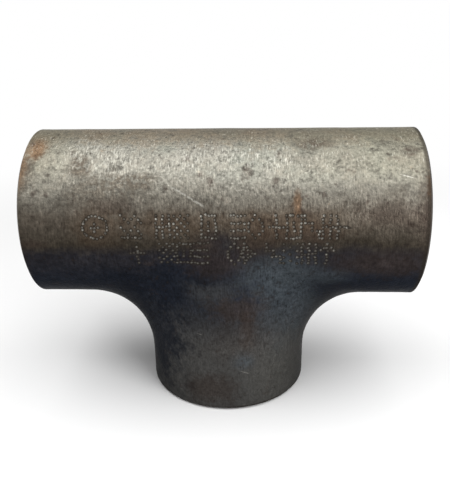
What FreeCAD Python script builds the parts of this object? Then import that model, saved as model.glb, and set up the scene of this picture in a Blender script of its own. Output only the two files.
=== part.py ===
"""Equal butt weld tee, drawn about the crossing of its axes and standing on its branch end.

The run lies along X and the branch points down along -Z. The tee is one formed piece: a tube with
a branch drawn out of it, one wall thickness throughout, and a weld bevel round each of its ends.
"""
import FreeCAD, Part
import os
import Sketcher

# Driving dimensions: name, value in millimetres or degrees, meaning
DIMENSIONS = (
    ("outer_diameter", 42.4, "Outside diameter of the run"),
    ("wall_thickness", 2.6, "Wall of the run, the branch and the crotch"),
    ("centre_to_run_end", 48.0, "From the branch's axis to each end of the run"),
    ("centre_to_branch_end", 48.0, "From the run's axis to the end of the branch"),
    ("branch_step", 0.1, "What the branch measures less than the run, across"),
    ("crotch_radius", 18.0, "Outside radius where the branch leaves the run"),
    ("bevel_depth", 1.0, "Part of the wall that each weld bevel takes"),
    ("bevel_angle", 30.0, "Angle between a weld bevel and its end face"),
)
OUTER_WIDTH = "Sizes.outer_diameter"
BORE_WIDTH = "Sizes.outer_diameter - 2 * Sizes.wall_thickness"

doc = FreeCAD.newDocument("ButtWeldTee")


def fill_sheet():
    """Give each driving dimension a row of the sheet, under the name that the features use."""
    sheet = doc.addObject("Spreadsheet::Sheet", "Sizes")
    for row, (name, value, meaning) in enumerate(DIMENSIONS, start=1):
        sheet.set(f"A{row}", meaning)
        sheet.set(f"B{row}", str(value))
        sheet.setAlias(f"B{row}", name)
    doc.recompute()
    return sheet


def circle_sketch(body, name, role, turn, diameter):
    """A circle round the body's origin, turned in its plane so that it starts at the tee's back."""
    sketch = body.newObject("Sketcher::SketchObject", name)
    plane = next(each for each in body.Origin.OriginFeatures if each.Role == role)
    sketch.AttachmentSupport = (plane, [""])
    sketch.MapMode = "FlatFace"
    centre, normal = FreeCAD.Vector(0, 0, 0), FreeCAD.Vector(0, 0, 1)
    sketch.AttachmentOffset = FreeCAD.Placement(centre, FreeCAD.Rotation(normal, turn))
    line = sketch.addGeometry(Part.Circle(centre, normal, 1), False)
    sketch.addConstraint(Sketcher.Constraint("Coincident", line, 3, -1, 1))
    across = sketch.addConstraint(Sketcher.Constraint("Diameter", line, 2))
    sketch.renameConstraint(across, "across")
    sketch.setExpression("Constraints.across", diameter)
    return sketch


def along_run(body, kind, name, diameter):
    """A round bar (Pad) or bore (Pocket) along X, from one end of the run to the other."""
    feature = body.newObject(f"PartDesign::{kind}", name)
    feature.Profile = circle_sketch(body, f"{name}_circle", "YZ_Plane", 0, diameter)
    feature.Midplane = True
    feature.setExpression("Length", "2 * Sizes.centre_to_run_end")
    doc.recompute()
    return feature


def along_branch(body, kind, name, diameter):
    """A round bar (Pad) or bore (Pocket) from the run's axis down to the branch end."""
    feature = body.newObject(f"PartDesign::{kind}", name)
    narrower = f"{diameter} - Sizes.branch_step"
    feature.Profile = circle_sketch(body, f"{name}_circle", "XY_Plane", 90, narrower)
    feature.Reversed = kind == "Pad"
    feature.setExpression("Length", "Sizes.centre_to_branch_end")
    doc.recompute()
    return feature


def junction(shape):
    """The line in which a wall of the run meets a wall of the branch: a saddle."""
    found = []
    for edge in shape.Edges:
        walls = [face.Surface for face in shape.ancestorsOfType(edge, Part.Face)]
        round_walls = [wall for wall in walls if isinstance(wall, Part.Cylinder)]
        if len(round_walls) == 2 and not round_walls[0].Axis.isParallel(round_walls[1].Axis, 0.1):
            found.append(edge)
    return found


def outer_rims(shape):
    """The outer circle of each of the three end faces."""
    ends = [face for face in shape.Faces if isinstance(face.Surface, Part.Plane)]
    return [max(face.Edges, key=lambda edge: edge.Length) for face in ends]


def edge_names(shape, chosen):
    """What the document calls the chosen edges of a shape."""
    numbered = enumerate(shape.Edges, start=1)
    return [f"Edge{number}" for number, edge in numbered if any(map(edge.isSame, chosen))]


def round_junction(body, name, base, radius):
    """A fillet along the saddle line of run and branch."""
    fillet = body.newObject("PartDesign::Fillet", name)
    fillet.Base = (base, edge_names(base.Shape, junction(base.Shape)))
    fillet.setExpression("Radius", radius)
    doc.recompute()
    return fillet


def bevel_rims(body, name, base):
    """A weld bevel round the outside of each end: its first distance lies across the end face."""
    bevel = body.newObject("PartDesign::Chamfer", name)
    bevel.Base = (base, edge_names(base.Shape, outer_rims(base.Shape)))
    bevel.ChamferType = "Two distances"
    bevel.FlipDirection = True
    bevel.setExpression("Size", "Sizes.bevel_depth")
    bevel.setExpression("Size2", "Sizes.bevel_depth * tan(Sizes.bevel_angle)")
    doc.recompute()
    return bevel


def make_tee():
    """Outside first, with its bevels and rounded junction, then the bores with theirs.

    Both junctions are rounded about the same centre line, so the crotch keeps the wall's thickness.
    """
    tee = doc.addObject("PartDesign::Body", "tee")
    tee.setExpression(".Placement.Base.z", "Sizes.centre_to_branch_end")
    along_run(tee, "Pad", "run", OUTER_WIDTH)
    branch = along_branch(tee, "Pad", "branch", OUTER_WIDTH)
    bevels = bevel_rims(tee, "weld_bevels", branch)
    round_junction(tee, "crotch", bevels, "Sizes.crotch_radius")
    along_run(tee, "Pocket", "run_bore", BORE_WIDTH)
    branch_bore = along_branch(tee, "Pocket", "branch_bore", BORE_WIDTH)
    lining = "Sizes.crotch_radius + Sizes.wall_thickness"
    round_junction(tee, "inner_crotch", branch_bore, lining)
    return tee


def check(parts):
    """Stop at any failed object of the document, and at any sub-part that isn't one sound solid."""
    for each in doc.Objects:
        if {"Invalid", "Error"} & set(each.State):
            raise RuntimeError(f"{each.Label} could not be made: {each.State}")
    for each in parts:
        if each.Shape.isNull() or not each.Shape.isValid() or len(each.Shape.Solids) != 1:
            raise RuntimeError(f"{each.Label} is not one sound solid")


def write(parts):
    """One file for each sub-part, named after its label."""
    os.makedirs("parts", exist_ok=True)
    for each in parts:
        each.Shape.exportStep(os.path.join("parts", f"{each.Label}.step"))
        box = each.Shape.BoundBox
        print(f"{each.Label}: {box.XLength:.2f} x {box.YLength:.2f} x {box.ZLength:.2f} mm,"
              f" {each.Shape.Volume:.0f} mm3")


fill_sheet()
sub_parts = [make_tee()]
doc.recompute()
check(sub_parts)
write(sub_parts)
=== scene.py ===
"""A butt weld tee of hot-formed steel, with its mill scale, rust freckles and punched marks.

The file is laid out as an add-on and is run as a script. Lengths are in metres, in the frame of the
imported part: X along the run, Z up from the branch end, the viewer on the side of negative Y.
"""
import math

import bmesh
import bpy
import numpy as np
from bpy.props import FloatProperty, FloatVectorProperty, PointerProperty
from mathutils import Matrix, Vector


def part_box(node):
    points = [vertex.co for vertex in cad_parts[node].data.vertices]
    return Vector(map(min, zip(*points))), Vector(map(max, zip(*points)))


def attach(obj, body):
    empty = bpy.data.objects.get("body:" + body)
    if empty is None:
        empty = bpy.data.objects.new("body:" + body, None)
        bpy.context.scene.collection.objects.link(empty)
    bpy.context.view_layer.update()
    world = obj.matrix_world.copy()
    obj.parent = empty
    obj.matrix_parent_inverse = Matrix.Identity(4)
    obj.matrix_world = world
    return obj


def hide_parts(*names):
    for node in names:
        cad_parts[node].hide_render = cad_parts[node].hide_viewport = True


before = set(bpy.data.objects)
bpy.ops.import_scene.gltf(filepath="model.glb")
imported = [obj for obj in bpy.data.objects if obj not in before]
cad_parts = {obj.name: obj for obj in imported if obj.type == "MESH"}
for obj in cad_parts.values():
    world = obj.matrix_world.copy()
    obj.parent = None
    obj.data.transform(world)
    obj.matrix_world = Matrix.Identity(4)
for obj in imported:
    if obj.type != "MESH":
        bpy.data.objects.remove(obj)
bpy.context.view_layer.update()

bl_info = {
    "name": "Butt weld tee",
    "version": (1, 0, 0),
    "blender": (4, 5, 0),
    "location": "3D View > Sidebar > Tee",
    "description": "A butt weld tee in mill-scaled steel on a pale studio floor",
    "category": "Add Mesh",
}

MM = 0.001
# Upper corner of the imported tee: centre to end, outer radius and full height
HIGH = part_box("tee")[1]


# Values that a user would change

class TeeSizes(bpy.types.PropertyGroup):
    """Sizes of the tee, and how far its skin departs from true cylinders."""
    outer_radius: FloatProperty(
        name="Outer radius", description="Outside radius of the run and the branch",
        default=HIGH.y, unit="LENGTH")
    wall: FloatProperty(
        name="Wall", description="Thickness of the wall", default=2.6 * MM, unit="LENGTH")
    centre_to_end: FloatProperty(
        name="Centre to end", description="From the crossing of the axes to each end",
        default=HIGH.x, unit="LENGTH")
    crotch_radius: FloatProperty(
        name="Crotch radius", description="Outside radius where the branch leaves the run",
        default=18 * MM, unit="LENGTH")
    bevel_depth: FloatProperty(
        name="Bevel depth", description="Part of the wall that each weld bevel takes",
        default=1 * MM, unit="LENGTH")
    bevel_angle: FloatProperty(
        name="Bevel angle", description="Angle between a weld bevel and its end face",
        default=math.radians(30), subtype="ANGLE")
    unevenness: FloatProperty(
        name="Unevenness", description="Depth of the shallow hollows of hot forming",
        default=0.07 * MM, unit="LENGTH")
    punch_depth: FloatProperty(
        name="Punch depth", description="Depth of one punched dot",
        default=0.24 * MM, unit="LENGTH")
    punch_radius: FloatProperty(
        name="Punch radius", description="Radius of one punched dot",
        default=0.46 * MM, unit="LENGTH")


class TeeColours(bpy.types.PropertyGroup):
    """Colours of the scaled skin, the first seven from the top of the tee to its foot: painted
    highlight on the top, darkening into painted shade below.
    """
    crown: FloatVectorProperty(
        name="Crown scale", description="Yellowish scale along the top of the run",
        subtype="COLOR", default=(0.218, 0.183, 0.134))
    # Painted highlight: the top of the run is lighter because the overhead light falls on it
    lit_grey: FloatVectorProperty(
        name="Rubbed scale", description="Grey scale on the upper side, rubbed by handling",
        subtype="COLOR", default=(0.192, 0.185, 0.158))
    # Brownish scale, with painted light fading into painted shade on the upper front
    shoulder: FloatVectorProperty(
        name="Shoulder scale", description="Brownish scale on the upper front of the run",
        subtype="COLOR", default=(0.080, 0.068, 0.054))
    # Dark brown scale in painted shade at the widest line
    tawny: FloatVectorProperty(
        name="Tawny scale", description="Dark brown scale at the widest line of the run",
        subtype="COLOR", default=(0.034, 0.028, 0.021))
    # Painted shade below the widest line
    dusk: FloatVectorProperty(
        name="Dusky scale", description="Blackish scale below the widest line",
        subtype="COLOR", default=(0.017, 0.0165, 0.020))
    # Painted shade on the underside of the run, blue-black in hue
    shaded: FloatVectorProperty(
        name="Dark scale", description="Blue-black scale on the underside", subtype="COLOR",
        default=(0.0100, 0.0125, 0.0190))
    # Grey scale, darker than the top by painted shade
    branch: FloatVectorProperty(
        name="Branch scale", description="Grey scale on the branch", subtype="COLOR",
        default=(0.050, 0.049, 0.047))
    # Painted light: lighter bluish scale where light from the right falls on the crotch and the
    # branch
    slate_lit: FloatVectorProperty(
        name="Slate", description="Bluish patches of the scale", subtype="COLOR",
        default=(0.056, 0.066, 0.074))
    brown: FloatVectorProperty(
        name="Brown", description="Thin brown patches", subtype="COLOR",
        default=(0.074, 0.062, 0.048))
    # Green grey and olive are hues laid over the top band of painted highlight
    green: FloatVectorProperty(
        name="Green grey", description="Faint greenish clouds on the rubbed scale",
        subtype="COLOR", default=(0.160, 0.175, 0.148))
    olive: FloatVectorProperty(
        name="Olive grey", description="Yellowish cast of the rubbed scale towards the run's ends",
        subtype="COLOR", default=(0.188, 0.179, 0.130))
    umber: FloatVectorProperty(
        name="Umber", description="Old dark rust in patches, pocks and specks", subtype="COLOR",
        default=(0.038, 0.027, 0.022))
    rust: FloatVectorProperty(
        name="Rust", description="Rust freckles and stains", subtype="COLOR",
        default=(0.135, 0.080, 0.044))
    # Painted shade in the seats of the punched dots, and the dark line beside the rims; by the foot
    # that line is painted shade where the tee meets the floor
    dot_shade_rim_line: FloatVectorProperty(
        name="Soot", description="Edges of the punched dots, and dark lines beside the rims",
        subtype="COLOR", default=(0.022, 0.018, 0.014))
    turned: FloatVectorProperty(
        name="Turned steel", description="Machined rims of the three ends", subtype="COLOR",
        default=(0.110, 0.098, 0.085))
    # Bare steel of scratches and dot bottoms, also painted glints and shine on the lit top
    bare_and_glint: FloatVectorProperty(
        name="Bare steel", description="Scratches, glints and the bottoms of the punched dots",
        subtype="COLOR", default=(0.48, 0.47, 0.42))


class TeeStudio(bpy.types.PropertyGroup):
    """Floor, lamps and camera."""
    floor: FloatVectorProperty(
        name="Floor", description="Colour of the floor", subtype="COLOR",
        default=(0.80, 0.80, 0.80))
    bounce: FloatVectorProperty(
        name="Bounce", description="Colour of the floor as it lights dull surfaces",
        subtype="COLOR", default=(0.10, 0.10, 0.11))
    top_lamp: FloatProperty(
        name="Top lamp", description="Power of the lamp overhead", default=2.7, unit="POWER")
    side_lamp: FloatProperty(
        name="Side lamp", description="Power of the lamp at the right", default=1.4, unit="POWER")
    sky: FloatProperty(
        name="Surroundings", description="Strength of the light from all round", default=0.25)
    focal_length: FloatProperty(
        name="Focal length", description="Focal length of the camera on a 36 mm picture",
        default=44.10, unit="CAMERA")


# Shader expressions

class Wire:
    """An output of a node, with arithmetic: an expression on wires adds its Math nodes."""

    def __init__(self, tree, socket):
        self.tree, self.socket = tree, socket

    def add(self, kind, settings=None, inputs=None, output=0):
        """A node of that kind: its settings first, then the values or wires of its sockets.

        The setting "stops" fills a colour ramp with pairs of a place and a colour.
        """
        node = self.tree.nodes.new(kind)
        for name, value in (settings or {}).items():
            if name == "stops":
                ramp = node.color_ramp.elements
                while len(ramp) < len(value):
                    ramp.new(1)
                for element, (place, colour) in zip(ramp, value):
                    element.position, element.color = place, colour
            else:
                setattr(node, name, value)
        for name, value in (inputs or {}).items():
            if isinstance(value, Wire):
                self.tree.links.new(value.socket, node.inputs[name])
            else:
                node.inputs[name].default_value = value
        return Wire(self.tree, node.outputs[output])

    def maths(self, operation, first, second):
        """One Math node."""
        return self.add("ShaderNodeMath", {"operation": operation}, {0: first, 1: second})

    def vector(self, operation, inputs, output=0):
        """One Vector Math node, whose output 0 is a vector and 1 a number."""
        return self.add("ShaderNodeVectorMath", {"operation": operation}, inputs, output)

    def __add__(self, other):
        return self.maths("ADD", self, other)

    def __radd__(self, other):
        return self.maths("ADD", other, self)

    def __sub__(self, other):
        return self.maths("SUBTRACT", self, other)

    def __rsub__(self, other):
        return self.maths("SUBTRACT", other, self)

    def __mul__(self, other):
        return self.maths("MULTIPLY", self, other)

    def __rmul__(self, other):
        return self.maths("MULTIPLY", other, self)

    def __truediv__(self, other):
        return self.maths("DIVIDE", self, other)

    def larger(self, other):
        """The larger of two numbers."""
        return self.maths("MAXIMUM", self, other)

    def length(self):
        """The length of a vector."""
        return self.vector("LENGTH", {0: self}, 1)

    def rise(self, start, end):
        """A smooth step from 0 at start to 1 at end, where start may be the larger."""
        if start > end:
            return 1 - self.rise(end, start)
        return self.add("ShaderNodeMapRange", {"interpolation_type": "SMOOTHSTEP"},
                        {0: self, 1: start, 2: end, 3: 0.0, 4: 1.0})


def mixed(share, first, second):
    """Two colours by share: sockets 6 and 7 and output 2 are those that a Mix node has for them."""
    return share.add("ShaderNodeMix", {"data_type": "RGBA"}, {0: share, 6: first, 7: second}, 2)


def painted(share, under, colour):
    """A plain colour over what is there, by share."""
    return mixed(share, under, (*colour, 1))


def grain(place, size, detail, stretch=(1, 1, 1), offset=(0, 0, 0)):
    """Noise from 0 to 1 whose features are about that size; a stretch under 1 draws them out."""
    moved = place.vector("MULTIPLY_ADD", {0: place, 1: stretch, 2: offset})
    return place.add("ShaderNodeTexNoise", {}, {
        "Vector": moved, "Scale": 1 / size, "Detail": detail, "Roughness": 0.6})


# How strongly a ragged noise moves the edge of a blot, measured in half axes
RAGGEDNESS = 3.4


def blot(place, centre, reach, ragged, soft):
    """1 inside an ellipsoid with those half axes in millimetres, 0 outside, with a ragged edge.

    The distance from its centre is measured in half axes and moved by the ragged noise. Over it
    the value falls from 1 at 1 - soft to 0 at 1 + soft.
    """
    inverse = [1 / (half_axis * MM) for half_axis in reach]
    shift = [-middle * MM * each for middle, each in zip(centre, inverse)]
    distance = place.vector("MULTIPLY_ADD", {0: place, 1: inverse, 2: shift}).length()
    return (distance + (ragged - 0.5) * RAGGEDNESS).rise(1.0 + soft, 1.0 - soft)


def patched(place, colour, blots, ragged, soft, strength, paint):
    """A colour with a paint over it on each blot of a table, at a strength up to 1."""
    for centre, reach in blots:
        colour = painted(blot(place, centre, reach, ragged, soft) * strength, colour, paint)
    return colour


def scratch(place, start, end, width):
    """1 on a straight scratch between two points in millimetres, fading over its width and ends."""
    start, end = Vector(start) * MM, Vector(end) * MM
    along = end - start
    away = place.vector("SUBTRACT", {0: place, 1: start})
    share = place.vector("DOT_PRODUCT", {0: away, 1: along / along.length_squared}, 1)
    share = place.add("ShaderNodeClamp", {}, {0: share})
    foot = place.vector("SCALE", {0: along, "Scale": share})
    gap = place.vector("DISTANCE", {0: away, 1: foot}, 1)
    return gap.rise(width * MM, 0.2 * width * MM) * share.rise(0, 0.4) * share.rise(1, 0.85)


def new_material(name):
    """An empty material, the input for its surface, and a wire of its Object coordinates."""
    material = bpy.data.materials.new(name)
    material.use_nodes = True
    tree = material.node_tree
    tree.nodes.clear()
    output = tree.nodes.new("ShaderNodeOutputMaterial")
    place = Wire(tree, tree.nodes.new("ShaderNodeTexCoord").outputs["Object"])
    return material, output.inputs["Surface"], place


# The tee's surfaces

def graded(*stops):
    """Grid lines through all stops: each stop but the last is (place, spacing to the next one)."""
    parts = [np.array([stops[0][0]])]
    for (start, spacing), following in zip(stops, stops[1:]):
        end = following[0]
        count = max(1, math.ceil(abs(end - start) / spacing))
        parts.append(np.linspace(start, end, count + 1)[1:])
    return np.concatenate(parts)


def both_sides(left, right):
    """Grid lines of a whole run from those of two left halves, the second one mirrored."""
    return np.concatenate([left, -right[::-1][1:]])


def half_tube(radius, places, turns):
    """Upper half of the run's skin: (x, radius cos p, radius sin p), p from back to front."""
    x, p = np.meshgrid(places, turns, indexing="ij")
    return np.stack([x, radius * np.cos(p), radius * np.sin(p)], -1)


def elbow(radius, ball, reach, shares, turns, side):
    """Lower half of the skin on one side, as paths from the run's end to the branch's.

    A path at turn p runs straight along the run, rolls round a ball of the crotch's radius, and
    runs straight down the branch. With c = radius + ball, its normals are m = (0, cos p, -sin p) on
    the run and n = (sin p, cos p, 0) on the branch, and the ball's centre is
    C = (c sin p, c cos p, -c sin p), so a rolling point is C - ball * (m turned towards n).
    """
    share, p = np.meshgrid(shares, turns, indexing="ij")
    sine, cosine, zero = np.sin(p), np.cos(p), np.zeros_like(p)
    centre_way = radius + ball
    straight = reach - centre_way * sine
    bend = np.arccos(np.clip(cosine ** 2, -1, 1))
    along = share * (2 * straight + ball * bend)
    rolled = np.clip((along - straight) / ball, 0, bend)
    # At the very back and front a path has no bend to divide by
    flat = bend < 1e-6
    safe = np.maximum(np.sin(bend), 1e-12)
    run_part = np.where(flat, 1 - share, np.sin(bend - rolled) / safe)[..., None]
    branch_part = np.where(flat, share, np.sin(rolled) / safe)[..., None]
    run_normal = np.stack([zero, cosine, -sine], -1)
    branch_normal = np.stack([sine, cosine, zero], -1)
    centre = centre_way * np.stack([sine, cosine, -sine], -1)
    point = centre - ball * (run_part * run_normal + branch_part * branch_normal)
    point[..., 0] += np.maximum(straight - along, 0)
    point[..., 2] -= np.maximum(along - straight - ball * bend, 0)
    point[..., 0] *= side
    return point


def end_ring(circle, way, profile):
    """The rim of one end: a circle of points carried out along way and drawn in to the axis.

    Each stop of the profile is (distance along way, share of the circle's own radius).
    """
    way = np.array(way, float)
    height = np.outer(circle @ way, way)
    flat = circle - height
    return np.stack([height + out * way + share * flat for out, share in profile], 1)


def quads(shape, start, flip):
    """Faces of a grid of points that begins at vertex start."""
    index = start + np.arange(shape[0] * shape[1]).reshape(shape[:2])
    a, b, c, d = index[:-1, :-1], index[1:, :-1], index[1:, 1:], index[:-1, 1:]
    order = (a, d, c, b) if flip else (a, b, c, d)
    return np.stack(order, -1).reshape(-1, 4)


# Points this close are sewn into one, and edges this short are taken out
SEAM_GAP, NO_LENGTH = 2e-6, 1e-7


def sewn_mesh(name, grids):
    """One mesh of all grids, each (points, flip), with the points that coincide made one."""
    points = np.concatenate([grid.reshape(-1, 3) for grid, _ in grids])
    starts = np.cumsum([0] + [grid.shape[0] * grid.shape[1] for grid, _ in grids])
    faces = np.concatenate(
        [quads(grid.shape, start, flip) for (grid, flip), start in zip(grids, starts)])
    mesh = bpy.data.meshes.new(name)
    mesh.from_pydata(points, [], faces.tolist())
    work = bmesh.new()
    work.from_mesh(mesh)
    bmesh.ops.remove_doubles(work, verts=work.verts, dist=SEAM_GAP)
    bmesh.ops.dissolve_degenerate(work, edges=work.edges, dist=NO_LENGTH)
    work.to_mesh(mesh)
    work.free()
    return mesh


def tee_grids(sizes):
    """Outer skin, inner skin and rims of the tee about the crossing of its axes.

    The turns of a skin's lines go from 0 at the back to pi at the front.
    """
    outer, wall, ball = sizes.outer_radius, sizes.wall, sizes.crotch_radius
    inner, reach = outer - wall, sizes.centre_to_end
    bevel_length = sizes.bevel_depth * math.tan(sizes.bevel_angle)
    skin_end = reach - bevel_length

    # Lines are close together where the marks are punched, and wide apart elsewhere
    close, wide, inside = 0.23 * MM, 1.1 * MM, 2.0 * MM
    marks_left, marks_right, marks_low, marks_high = 33.5 * MM, 29 * MM, 7.4 * MM, 7 * MM
    # Share of that spacing at which the lower half's paths start, as they part at the crotch
    gathered = 0.55
    left_lines = graded((-skin_end, wide), (-marks_left, close), (0,))
    right_lines = graded((-skin_end, wide), (-marks_right, close), (0,))
    branch_lines = graded((0, close), (marks_low, wide), (skin_end,))
    bore_lines = graded((-reach, inside), (0,))
    over = graded((0, wide / outer), (math.pi - marks_high / outer, close / outer), (math.pi,))
    under = graded((0, wide / outer), (math.pi - marks_low / outer, gathered * close / outer),
                   (math.pi,))

    def path_shares(run_lines):
        """Shares of a path's length at the lines of half the run and of the branch."""
        return (np.concatenate([run_lines, branch_lines[1:]]) + skin_end) / (2 * skin_end)

    bore_step = inside / (2 * reach)
    bore_shares = graded((0, bore_step), (0.5, bore_step), (1,))
    top = half_tube(outer, both_sides(left_lines, right_lines), over)
    right = elbow(outer, ball, skin_end, path_shares(right_lines), under, 1)
    left = elbow(outer, ball, skin_end, path_shares(left_lines), under, -1)
    skins = [
        (top, True), (right, True), (left, False),
        (half_tube(inner, both_sides(bore_lines, bore_lines), over), False),
        (elbow(inner, ball + wall, reach, bore_shares, under, 1), False),
        (elbow(inner, ball + wall, reach, bore_shares, under, -1), True)]
    edges = (
        (top[0], (-1, 0, 0), True), (top[-1], (1, 0, 0), False),
        (right[0], (1, 0, 0), True), (right[-1], (0, 0, -1), False),
        (left[0], (-1, 0, 0), False), (left[-1], (0, 0, -1), True))
    profile = (
        (0, 1), (bevel_length, 1 - sizes.bevel_depth / outer), (bevel_length, inner / outer))
    return skins + [(end_ring(circle, way, profile), flip) for circle, way, flip in edges]


# Punched figures on a grid of dots, seven high; they spell nothing
FIGURES = {
    "cross": ("..#..", "..#..", "..#..", "#####", "..#..", "..#..", "..#.."),
    "diamond": ("..#..", ".#.#.", "#...#", "#...#", "#...#", ".#.#.", "..#.."),
    "bars": ("#####", ".....", "#####", ".....", "#####", ".....", "#####"),
    "steps": ("#....", "#....", "###..", "..#..", "..###", "....#", "....#"),
    "fence": ("#.#.#", "#.#.#", "#.#.#", "#####", "#.#.#", "#.#.#", "#.#.#"),
    "arrow": ("..#..", ".###.", "#.#.#", "..#..", "..#..", "..#..", "..#.."),
    "checks": ("#.#.#", ".#.#.", "#.#.#", ".#.#.", "#.#.#", ".#.#.", "#.#.#"),
    "wedge": ("#....", "##...", "###..", "####.", "###..", "##...", "#...."),
    "frame": ("#####", "#...#", "#.#.#", "#.#.#", "#.#.#", "#...#", "#####"),
    "dash": (".....", ".....", ".....", "#####", ".....", ".....", "....."),
    "rain": ("#...#", "..#..", "#...#", "..#..", "#...#", "..#..", "#...#"),
    "wave": ("#...#..", ".#.#.#.", "..#...#", "#...#..", ".#.#.#.", "..#...#", "#######"),
}
# All that follows on the marks is in millimetres.
# Rows of figures: height of the top dots over the run's axis, and (place of the left dots, figure)
MARK_ROWS = (
    (6.0, ((-23.2, "wave"), (-15.0, "fence"), (-10.8, "checks"), (-4.4, "frame"), (2.4, "bars"),
           (6.4, "diamond"), (11.2, "cross"), (15.2, "frame"), (19.4, "steps"), (23.4, "fence"),
           (26.4, "dash"))),
    (-0.7, ((-21.4, "cross"), (-14.4, "checks"), (-10.4, "frame"), (-6.4, "bars"),
            (1.6, "diamond"), (5.4, "wedge"), (10.6, "steps"), (14.6, "rain"), (18.8, "fence"),
            (23.0, "arrow"))),
)
DOT_PITCH, ROW_PITCH = 0.80, 0.87
# The mark at the left is an oval ring of dots with a small cross in it
RING_CENTRE, RING_REACH, RING_DOTS = (-29.4, 3.2), (2.9, 2.6), 22
CORE_DOTS = ((0, 0), (1, 0), (-1, 0), (0, 1), (0, -1))
# How far a dot strays from its place, and the strength of the faintest one
STRAY, FAINTEST = 0.10, 0.45


def punched_dots():
    """Centres (x, height over the run's axis) and strengths of all punched dots, in metres."""
    chance = np.random.default_rng(31)
    figure_dots = [
        (left + DOT_PITCH * column, top - ROW_PITCH * row)
        for top, figures in MARK_ROWS
        for left, name in figures
        for row, line in enumerate(FIGURES[name])
        for column, sign in enumerate(line)
        if sign == "#"]
    turn = np.arange(RING_DOTS) / RING_DOTS * 2 * np.pi
    ring = np.stack([np.cos(turn), np.sin(turn)], 1) * RING_REACH + RING_CENTRE
    core = np.array(CORE_DOTS) * DOT_PITCH + RING_CENTRE
    dots = np.concatenate([figure_dots, ring, core])
    dots += chance.normal(0, STRAY, dots.shape)
    return dots * MM, chance.uniform(FAINTEST, 1.0, len(dots))


def punch(points, radius):
    """How deep each point lies in a punched dot, from 0 to 1: (1 - (d / radius) ** 2) ** 1.5."""
    centres, strengths = punched_dots()
    depth = np.zeros(len(points))
    low, high = centres.min(0) - MM, centres.max(0) + MM
    spots = points[:, [0, 2]]
    near = np.flatnonzero((points[:, 1] < 0) & (spots > low).all(1) & (spots < high).all(1))
    # In blocks of about 2000 points, so that the table of all their gaps stays small
    for block in np.array_split(near, max(1, len(near) // 2000)):
        gap = ((spots[block][:, None] - centres) ** 2).sum(2) / radius ** 2
        depth[block] = (strengths * np.clip(1 - gap, 0, 1) ** 1.5).max(1)
    return depth


def ripple(points, seed, length, waves=40):
    """A gentle unevenness between -1 and 1: many sine waves of about that length, in all ways.

    Their sum is divided by 1.3 times the root of their number, so that little of it is cut off.
    """
    chance = np.random.default_rng(seed)
    ways = chance.normal(size=(waves, 3))
    ways /= np.linalg.norm(ways, axis=1)[:, None]
    ways *= 2 * np.pi / (length * chance.uniform(0.7, 1.6, (waves, 1)))
    sums = np.sin(points @ ways.T + chance.uniform(0, 2 * np.pi, waves)).sum(1)
    return np.clip(sums / (1.3 * math.sqrt(waves)), -1, 1)


def hollows(points):
    """Depth of the hollows of hot forming, from 0 to 1: long waves, and lower short ones."""
    short_share = 0.6
    waves = ripple(points, 5, 14 * MM) + short_share * ripple(points, 6, 5 * MM)
    return (waves + 1 + short_share) / (2 * (1 + short_share))


def vertex_values(mesh, what):
    """Places ("co") or normals ("normal") of all vertices."""
    values = np.empty(len(mesh.vertices) * 3)
    if what == "normal":
        mesh.vertex_normals.foreach_get("vector", values)
    else:
        mesh.vertices.foreach_get(what, values)
    return values.reshape(-1, 3)


def form_skin(mesh, sizes):
    """Sink hollows and punched dots into the outside along its normals, and stand the tee up.

    The hollows begin 1 mm from each end and have their full depth at 3 mm. The depth of the dots
    is kept as the attribute "punched".
    """
    points, normals = vertex_values(mesh, "co"), vertex_values(mesh, "normal")
    outside = (points * normals).sum(1) > 0
    dots = punch(points, sizes.punch_radius) * outside
    from_end = np.minimum(
        sizes.centre_to_end - np.abs(points[:, 0]), sizes.centre_to_end + points[:, 2])
    fade = np.clip((from_end - MM) / (2 * MM), 0, 1)
    sink = sizes.punch_depth * dots + sizes.unevenness * hollows(points) * fade * outside
    points -= sink[:, None] * normals
    points[:, 2] += HIGH.z - sizes.outer_radius
    mesh.attributes.new("punched", "FLOAT", "POINT").data.foreach_set("value", dots)
    mesh.vertices.foreach_set("co", points.ravel())
    mesh.update()


class TEE_OT_make_tee(bpy.types.Operator):
    """Build the tee's skin, bores and rims as one closed mesh"""
    bl_idname = "tee.make_tee"
    bl_label = "Make tee"

    def execute(self, context):
        sizes = context.scene.tee_sizes
        mesh = sewn_mesh("tee_skin", tee_grids(sizes))
        form_skin(mesh, sizes)
        mesh.shade_smooth()
        mesh.set_sharp_from_angle(angle=math.radians(25))
        tee = bpy.data.objects.new("tee_body", mesh)
        context.scene.collection.objects.link(tee)
        mesh.materials.append(scaled_steel(context.scene.tee_colours))
        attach(tee, "root")
        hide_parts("tee")
        return {"FINISHED"}


# The colours of the skin

# Bands of scale, by share of the tee's height: with them painted light and shade, lightest on
# the top of the run and darkest on its underside
SCALE_BANDS = (
    (0.27, "branch"), (0.46, "shaded"), (0.53, "shaded"), (0.61, "dusk"), (0.64, "dusk"),
    (0.685, "tawny"), (0.78, "shoulder"), (0.895, "lit_grey"), (0.965, "lit_grey"), (0.995, "crown"))
# How strong the grain is, by share of the tee's height
GRAIN_SHARES = (
    (0.20, 0.55), (0.42, 0.90), (0.62, 0.95), (0.70, 0.80), (0.84, 0.84), (0.91, 1.00),
    (0.945, 0.90), (0.985, 0.45))
# Patches of the skin: centre and half axes in millimetres
# Lighter grey patches; the one low on the right of the branch is painted light on the side towards
# the side lamp
GREY_BLOTS = (
    ((-3, -22, 34.5), (9, 6, 3.5)), ((14, -15, 8), (8, 10, 9)), ((-38, -18, 56.8), (6, 6, 2.8)))
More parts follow.
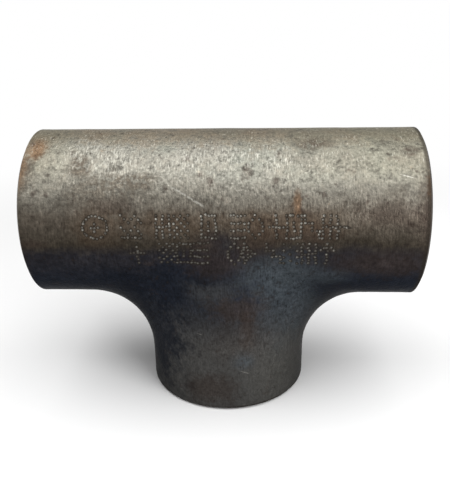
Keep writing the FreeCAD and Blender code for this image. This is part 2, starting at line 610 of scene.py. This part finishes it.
# Dark blue-black patches: the big one down the left of the branch and the one in the left crotch
# are painted shade
DARK_AND_SHADE_BLOTS = (
    ((-20, -11, 19), (10.5, 12, 14)), ((-15, -18, 34), (6, 8, 6)), ((-5, -20, 41), (9, 5, 4)),
    ((0, -20, 47), (5, 4, 3)))
BROWN_BLOTS = (
    ((46.5, -19, 57), (3, 6, 5)), ((-27, -18, 57), (10, 9, 6)), ((-19, -17, 60.8), (3.6, 4, 2.3)),
    ((20, -20, 54), (12, 6, 3)), ((8, -21, 52), (8, 6, 3)), ((39, -18, 54), (9, 8, 5)),
    ((-33, -13.5, 63.2), (4, 5, 1.8)), ((-24, -20, 52), (6, 5, 4)), ((-41, -20, 50.5), (4.5, 5, 3)),
    ((-33.5, -13, 64.5), (2.6, 3, 2)), ((-47, -15, 62), (2.5, 6, 7)), ((44, -10, 66), (2, 5, 1)),
    ((-24, -17, 61), (6, 5, 1.8)), ((22, -8, 67.6), (5, 4, 1.1)))
# Slate patches, mostly on the right of the crotch and the branch: painted light from the right
SLATE_LIT_BLOTS = (
    ((13, -22, 40), (8, 8, 4)), ((5, -21, 15), (2.5, 4, 2.5)), ((16, -16, 31), (7, 10, 12)),
    ((14, -18, 36), (7, 10, 6)), ((25, -16, 38), (6, 6, 2.5)), ((19, -11, 27), (3.5, 8, 8)),
    ((5.4, -21, 14.6), (1.6, 3, 1.8)))
UMBER_BLOTS = (
    ((-3, -22, 47), (5, 4, 2.5)), ((5, -22, 30), (7, 5, 3.5)), ((6, -22, 23), (2, 4, 6)),
    ((-45, -20, 47), (4, 5, 1.2)), ((-4, -22, 6), (6, 5, 5)), ((48, -17, 60), (1.6, 4, 4)),
    ((8, -21, 48), (6, 4, 4)), ((21, -20, 50), (6, 5, 2.4)), ((17.6, -20, 55.5), (1.3, 3, 3)),
    ((-2, -22, 42), (7, 5, 3)), ((39, -20, 54.5), (8, 5, 2.6)), ((-26, -20, 56), (5, 5, 1.8)),
    ((38, -19, 42), (11, 6, 3.6)), ((48, -19, 52), (2.5, 6, 6)))
DULL_BLOTS = (
    ((41, -13, 65.5), (4, 6, 3)), ((47, -15, 61), (3, 9, 7)), ((47, -20, 52), (3, 6, 6)),
    ((30, -13, 64.5), (4, 5, 2.6)), ((19.5, -12, 65.2), (3.4, 5, 2.8)),
    ((-44, -13, 64.5), (4, 6, 3.4)), ((3, 5, 69), (10, 7, 3)), ((-39, -16, 61), (5, 5, 1.6)),
    ((4, -21, 21), (8, 6, 6)))
RUST_BLOTS = (
    ((-45, -8, 67), (2.6, 4, 3)), ((-44.6, -9, 66.8), (1.8, 3, 2)), ((-48, -14, 63), (1.6, 6, 5)),
    ((17.6, -20, 57), (0.9, 3, 2.4)), ((48, -17, 60), (1.1, 4, 4)))
TAN_BLOTS = (
    ((-29, -20, 51.5), (5, 5, 4)), ((14, -20, 52), (12, 5, 3)), ((-12, -21, 52), (8, 5, 2.6)))
POCK_BLOTS = (
    ((6.0, -15.1, 63.2), (1.2, 2, 1.1)), ((12.6, -17.5, 61.1), (0.7, 2, 0.6)),
    ((-12.6, -19, 59.7), (0.6, 2, 0.5)), ((-4.8, -16.1, 62.4), (0.6, 2, 0.5)),
    ((-2.4, -17.3, 61.2), (0.7, 2, 0.6)))
# Painted highlight: bare-steel streaks where the top of the run shines brightest
PAINTED_SHINE_BLOTS = (
    ((-25.7, -12.7, 64.8), (4, 5, 2.6)), ((-7.8, -12.3, 65.3), (3, 5, 2.2)),
    ((5.6, -12, 65.6), (6, 5, 1.4)), ((12.8, -13, 64.6), (3.4, 5, 1.9)),
    ((-33, -10, 66.7), (3.5, 5, 1.6)))
# Scratches: both ends and the width in millimetres
SCRATCHES = (
    ((-12.7, -17.0, 60.6), (-3.3, -19.8, 55.6), 0.40),
    ((40.7, -15.6, 62.3), (43.9, -16.3, 61.6), 0.20),
    ((-12.0, -18.8, 18.4), (-9.0, -19.2, 17.2), 0.22),
    ((-8.2, -20.0, 22.9), (-5.2, -20.5, 22.3), 0.20),
    ((3.6, -20.8, 12.2), (6.4, -20.2, 10.8), 0.24))


class Skin:
    """What all colours of the skin share: noises from fine to coarse, and masks by place."""

    def __init__(self, place):
        self.place = place
        self.fine = grain(place, 0.62 * MM, 3)
        self.streaks = grain(place, 0.36 * MM, 2, stretch=(1, 0.24, 0.24))
        self.spots = grain(place, 1.3 * MM, 3, offset=(3, 1, 2))
        self.pocks = grain(place, 2.6 * MM, 2, offset=(4, 4, 9))
        self.patches = grain(place, 5 * MM, 5, offset=(5, 2, 7))
        self.clouds = grain(place, 16 * MM, 5, offset=(1, 8, 3))
        self.ragged = self.patches * 0.55 + self.spots * 0.45

        # Height as a share of the tee's, moved up and down by the noises
        height = place.add("ShaderNodeSeparateXYZ", {}, {0: place}, 2)
        shift = (self.clouds - 0.5) * 5 + (self.patches - 0.5) * 3 + (self.spots - 0.5) * 3
        self.level = (height + shift * MM) / HIGH.z
        # The upper side, the top under the painted highlight, and the strength of the grain
        self.upper = self.level.rise(0.66, 0.86)
        self.high = self.level.rise(0.86, 0.93)
        self.calm = place.add("ShaderNodeValToRGB", {"stops": [
            (where, (share, share, share, 1)) for where, share in GRAIN_SHARES]}, {0: self.level})
        # The run's two ends, and the left half of the tee
        across = place.add("ShaderNodeSeparateXYZ", {}, {0: place}, 0)
        self.ends = across.rise(0, 45 * MM).larger(across.rise(-28 * MM, -46 * MM))
        self.left = across.rise(MM, -MM)


def scaled_steel(colours):
    """Mill scale: lit grey above by painted highlight, in painted shade and blue-black below, with
    brown patches and rust freckles.
    """
    material, surface, place = new_material("mill_scaled_steel")
    skin = Skin(place)
    colour, brown = patched_scale(skin, colours)
    colour = grained(skin, colour, colours)
    colour = worn_and_painted_light(skin, colour, colours)
    colour, turning = turned_rims(skin, colour, colours)

    relief = ((skin.fine + skin.streaks) * 0.08 + skin.spots * 0.12 + turning * 0.05) * MM
    bump = place.add("ShaderNodeBump", {}, {"Strength": 1.0, "Distance": 1.0, "Height": relief})
    roughness = 0.42 + (skin.streaks - 0.5) * 0.30 + brown * 0.08
    shader = place.add("ShaderNodeBsdfPrincipled", {}, {
        "Base Color": colour, "Roughness": roughness, "Metallic": 0.85, "Normal": bump,
        "Specular IOR Level": 0.2, "Specular Tint": (0.45, 0.45, 0.45, 1)})
    place.tree.links.new(shader.socket, surface)
    return material


def patched_scale(skin, colours):
    """Bands of scale by height, with painted light on top and painted shade below, under clouds,
    patches, rust and pocks.

    Returns the colour, and how brown it is, for the roughness.
    """
    place, level, spots, ragged = skin.place, skin.level, skin.spots, skin.ragged
    # Painted light and shade by height: lit grey on top, darkening to blue-black under the run
    colour = place.add("ShaderNodeValToRGB", {"stops": [
        (height, (*getattr(colours, name), 1)) for height, name in SCALE_BANDS]}, {0: level})
    # Lighter grey patches, one of them painted light
    colour = patched(place, colour, GREY_BLOTS, ragged, 0.8, 0.12, colours.lit_grey)
    # Painted shade on the dark blots
    colour = patched(place, colour, DARK_AND_SHADE_BLOTS, ragged, 0.6, 0.85, colours.shaded)
    colour = painted(skin.clouds.rise(0.42, 0.58) * skin.high * 0.35, colour, colours.green)
    colour = painted(skin.ends * level.rise(0.84, 0.92) * 0.5, colour, colours.olive)

    brown = (skin.patches * 0.6 + spots * 0.4).rise(0.46, 0.60) * 0.4
    mottled = spots.rise(0.36, 0.56) * 0.8 + 0.2
    for centre, reach in BROWN_BLOTS:
        brown = brown.larger(blot(place, centre, reach, ragged, 0.5) * mottled)
    colour = painted(brown * (0.05 + 0.9 * level.rise(0.74, 0.90)), colour, colours.brown)

    # Painted light from the right on the slate patches
    colour = patched(place, colour, SLATE_LIT_BLOTS, ragged, 0.8, spots, colours.slate_lit)
    colour = patched(place, colour, UMBER_BLOTS, ragged, 0.6, 0.50, colours.umber)
    colour = patched(place, colour, DULL_BLOTS, ragged, 0.9, 0.22, colours.umber)
    colour = patched(place, colour, RUST_BLOTS, ragged, 0.6, 0.60, colours.rust)
    colour = patched(place, colour, TAN_BLOTS, ragged, 0.9, 0.20, colours.rust)
    freckles = (spots + skin.patches * 0.4).rise(0.90, 0.98)
    colour = painted(freckles * 0.3 * skin.upper, colour, colours.rust)
    pocks = skin.pocks.rise(0.60, 0.74) * (0.25 + 0.35 * skin.upper)
    colour = painted(pocks, colour, colours.umber)
    colour = patched(place, colour, POCK_BLOTS, spots, 0.9, 0.80, colours.umber)
    return colour, brown


def grained(skin, colour, colours):
    """A colour made lighter and darker by brushing, mottling and specks, with painted glints on
    top.
    """
    fine, streaks, spots, patches = skin.fine, skin.streaks, skin.spots, skin.patches
    brushed = (streaks - 0.5) * (0.7 + 1.5 * patches.rise(0.35, 0.65))
    # The bright specks only on the upper side are painted sparkle
    sparkle = (fine - 0.5) * 1.3 + brushed + fine.rise(0.58, 0.74) * 0.5 * skin.upper
    mottle = (spots - 0.5) * 1.5 + (patches - 0.5) * 1.2
    grains = sparkle * (1 - 0.25 * skin.ends) + mottle * (1 + 0.35 * skin.high)
    colour = skin.place.vector("SCALE", {0: colour, "Scale": 1 + grains * skin.calm})
    colour = painted(fine.rise(0.42, 0.28) * 0.35 * skin.calm, colour, colours.umber)
    specks = spots.rise(0.38, 0.28) * fine.rise(0.60, 0.40)
    colour = painted(specks * 0.5 * skin.calm, colour, colours.umber)
    # Painted glints: bare-steel streaks only on the top, where the overhead light falls
    glints = streaks.rise(0.60, 0.72) * patches.rise(0.40, 0.60)
    return painted(glints * skin.high * 0.5, colour, colours.bare_and_glint)


def worn_and_painted_light(skin, colour, colours):
    """A colour with painted shade at the edges of the punched dots, with bare steel and painted
    shine.

    Bare steel lies at the bottoms of the dots and along scratches, painted highlight on the shine
    blots; below the top all of it is dimmed by painted shade.
    """
    dots = skin.place.add("ShaderNodeAttribute", {"attribute_name": "punched"}, {}, 2)
    # Painted shade in the seats of the punched dots
    colour = painted(dots.rise(0.01, 0.12) * 0.80, colour, colours.dot_shade_rim_line)
    bare_and_shine = dots.rise(0.20, 0.66) * (0.20 + 0.34 * skin.fine.rise(0.35, 0.65))
    brushed, broken = skin.streaks.rise(0.46, 0.66), skin.fine.rise(0.25, 0.60)
    # Painted highlight on the shine blots
    for centre, reach in PAINTED_SHINE_BLOTS:
        bare_and_shine = bare_and_shine.larger(blot(skin.place, centre, reach, skin.ragged, 0.9) * brushed * 0.28)
    for start, end, width in SCRATCHES:
        bare_and_shine = bare_and_shine.larger(scratch(skin.place, start, end, width) * broken * 0.5)
    # Dimmer below the upper side: painted shade on the bare steel and the shine
    return painted(bare_and_shine * (0.40 + 0.60 * skin.upper), colour, colours.bare_and_glint)


# How far from an end face the turned steel fades in: where its bevel begins
RIM_EDGE = (0.60 * MM, 0.54 * MM)
# Where the dark line beside a rim fades in, at the ends of the run and at the foot
LINE_BY_RUN_END, LINE_BY_FOOT = (1.7 * MM, 1.0 * MM), (1.3 * MM, 0.7 * MM)
# Spacing of the rings that turning leaves
RING_PITCH = 0.14 * MM


def turned_rims(skin, colour, colours):
    """Bevels and root faces in turned steel, with a dark line beside them.

    The left rim is brightest, by painted light, and the foot's rim darker, by painted shade.

    Returns the colour, and the height of the turned rings about each axis, for the relief.
    """
    place = skin.place

    def away(axes, shift=(0, 0, 0)):
        """Distance from the origin along the chosen axes, after a shift."""
        return place.vector("MULTIPLY_ADD", {0: place, 1: axes, 2: shift}).length()

    from_end, from_foot = HIGH.x - away((1, 0, 0)), away((0, 0, 1))
    run_rim, branch_rim = from_end.rise(*RIM_EDGE), from_foot.rise(*RIM_EDGE)
    rim = run_rim.larger(branch_rim)
    # A dark line beside each rim, fainter at the left; by the foot it is painted shade where the
    # tee stands on the floor
    line = from_end.rise(*LINE_BY_RUN_END).larger(from_foot.rise(*LINE_BY_FOOT))
    line = line * skin.spots.rise(0.25, 0.50) * (0.75 - 0.6 * skin.left)
    colour = painted(line, colour, colours.dot_shade_rim_line)

    # The run's axis lies one radius below the top of the tee
    run_radius = away((0, 1, 1), shift=(0, 0, HIGH.y - HIGH.z))
    radius = run_radius + branch_rim * (away((1, 1, 0)) - run_radius)
    rings = place.add("ShaderNodeTexNoise", {"noise_dimensions": "1D"}, {
        "W": radius, "Scale": 1 / RING_PITCH, "Detail": 2.0})
    # Lighter at the left: painted light on the rim that faces away from the lamps; darker at the
    # foot: painted shade where it meets the floor
    shade = (0.5 + rings * 0.7) * (1 - branch_rim * 0.7) * (1 + skin.left)
    steel = place.vector("SCALE", {0: tuple(colours.turned), "Scale": shade})
    steel = painted(skin.spots.rise(0.50, 0.70) * 0.6, steel, colours.umber)
    return mixed(rim, colour, steel), rings * rim


# The stage, in metres

# Half the side of the floor, and between which distances it turns into white
FLOOR_REACH, FLOOR_FADE = 3, (0.09, 0.26)
# Lamps: name, place, what each faces, and its two sides
LAMPS = (
    ("top_lamp", (0, -0.05, 0.36), (0, -0.01, 0.05), (0.80, 0.42)),
    ("side_lamp", (0.30, -0.30, 0.14), (0.01, -0.01, 0.03), (0.24, 0.20)),
)
# The camera's place, and its angles in radians: to the left, up, and about its own axis
CAMERA_PLACE = (0.0091852, -0.1517494, 0.1025577)
CAMERA_YAW, CAMERA_PITCH, CAMERA_ROLL = 0.0631, -0.4095, -0.0205


class TEE_OT_make_stage(bpy.types.Operator):
    """Build the floor, the lamps and the camera"""
    bl_idname = "tee.make_stage"
    bl_label = "Make stage"

    def execute(self, context):
        scene, studio = context.scene, context.scene.tee_studio
        add_floor(scene, studio)
        for name, place, target, sides in LAMPS:
            add_lamp(scene, name, place, target, sides, getattr(studio, name))
        add_camera(scene, studio)
        add_surroundings(scene, studio)
        scene.view_settings.view_transform = "Standard"
        return {"FINISHED"}


def add_floor(scene, studio):
    """One square under the tee."""
    signs = ((-1, -1), (1, -1), (1, 1), (-1, 1))
    corners = [(x * FLOOR_REACH, y * FLOOR_REACH, 0) for x, y in signs]
    mesh = bpy.data.meshes.new("floor")
    mesh.from_pydata(corners, [], [(0, 1, 2, 3)])
    mesh.materials.append(floor_paint(studio))
    floor = bpy.data.objects.new("floor", mesh)
    scene.collection.objects.link(floor)


def seen_rays(start):
    """1 for the rays that show a thing to the eye: straight, in a mirror or through glass."""
    rays = [start.add("ShaderNodeLightPath", {}, {}, name) for name in (
        "Is Camera Ray", "Is Glossy Ray", "Is Transmission Ray")]
    return start.maths("MINIMUM", sum(rays), 1.0)


def floor_paint(studio):
    """A pale dull floor, which throws less light on the underside of the tee than it shows.

    Away from the tee and its shadow it turns into an even white that no lamp needs to light.
    """
    material, surface, place = new_material("floor")
    seen = seen_rays(place)
    colour = mixed(seen, (*studio.bounce, 1), (*studio.floor, 1))
    dull = place.add("ShaderNodeBsdfDiffuse", {}, {"Color": colour})
    glow = place.add("ShaderNodeEmission", {}, {"Color": (1, 1, 1, 1), "Strength": seen})
    white = place.length().rise(*FLOOR_FADE)
    shader = place.add("ShaderNodeMixShader", {}, {0: white, 1: dull, 2: glow})
    place.tree.links.new(shader.socket, surface)
    return material


def add_surroundings(scene, studio):
    """White all round for the eye, and a dimmer light for dull surfaces."""
    world = bpy.data.worlds.new("studio")
    world.use_nodes = True
    tree = world.node_tree
    tree.nodes.clear()
    output = tree.nodes.new("ShaderNodeOutputWorld")
    start = Wire(tree, None)
    strength = seen_rays(start) * (1 - studio.sky) + studio.sky
    light = start.add("ShaderNodeBackground", {}, {"Color": (1, 1, 1, 1), "Strength": strength})
    tree.links.new(light.socket, output.inputs["Surface"])
    scene.world = world


def add_lamp(scene, name, place, target, sides, power):
    """A soft lamp: a rectangle at a place that faces a target."""
    data = bpy.data.lights.new(name, "AREA")
    data.shape, data.size, data.size_y, data.energy = "RECTANGLE", *sides, power
    lamp = bpy.data.objects.new(name, data)
    lamp.visible_camera = False
    turn = (Vector(target) - Vector(place)).to_track_quat("-Z", "Y")
    lamp.matrix_world = Matrix.Translation(place) @ turn.to_matrix().to_4x4()
    scene.collection.objects.link(lamp)


def add_camera(scene, studio):
    """The photograph's view: from a little above, close to the tee."""
    data = bpy.data.cameras.new("camera")
    data.lens = studio.focal_length
    data.clip_start = 0.01
    camera = bpy.data.objects.new("camera", data)
    # A camera that isn't turned looks down, so it is first raised to the horizon
    raised = math.pi / 2 + CAMERA_PITCH
    camera.matrix_world = (
        Matrix.Translation(CAMERA_PLACE) @ Matrix.Rotation(CAMERA_YAW, 4, "Z")
        @ Matrix.Rotation(raised, 4, "X") @ Matrix.Rotation(CAMERA_ROLL, 4, "Z"))
    scene.collection.objects.link(camera)
    scene.camera = camera


# The add-on

# The groups of values, by the name that each has in a scene
GROUPS = {"tee_sizes": TeeSizes, "tee_colours": TeeColours, "tee_studio": TeeStudio}


class TEE_PT_panel(bpy.types.Panel):
    """The tee's values and the buttons that build it"""
    bl_label = "Butt weld tee"
    bl_space_type = "VIEW_3D"
    bl_region_type = "UI"
    bl_category = "Tee"

    def draw(self, context):
        for group in GROUPS:
            values = getattr(context.scene, group)
            box = self.layout.box()
            for name in values.__annotations__:
                box.prop(values, name)
        for operator in (TEE_OT_make_tee, TEE_OT_make_stage):
            self.layout.operator(operator.bl_idname)


CLASSES = (*GROUPS.values(), TEE_OT_make_tee, TEE_OT_make_stage, TEE_PT_panel)


def register():
    """Register the classes, and give each scene the groups of values."""
    for each in CLASSES:
        bpy.utils.register_class(each)
    for name, group in GROUPS.items():
        setattr(bpy.types.Scene, name, PointerProperty(type=group))


def unregister():
    """Take away what register added."""
    for name in GROUPS:
        delattr(bpy.types.Scene, name)
    for each in reversed(CLASSES):
        bpy.utils.unregister_class(each)


def main():
    """Register, and build the tee and then the stage."""
    register()
    bpy.ops.tee.make_tee()
    bpy.ops.tee.make_stage()


if __name__ == "__main__":
    main()
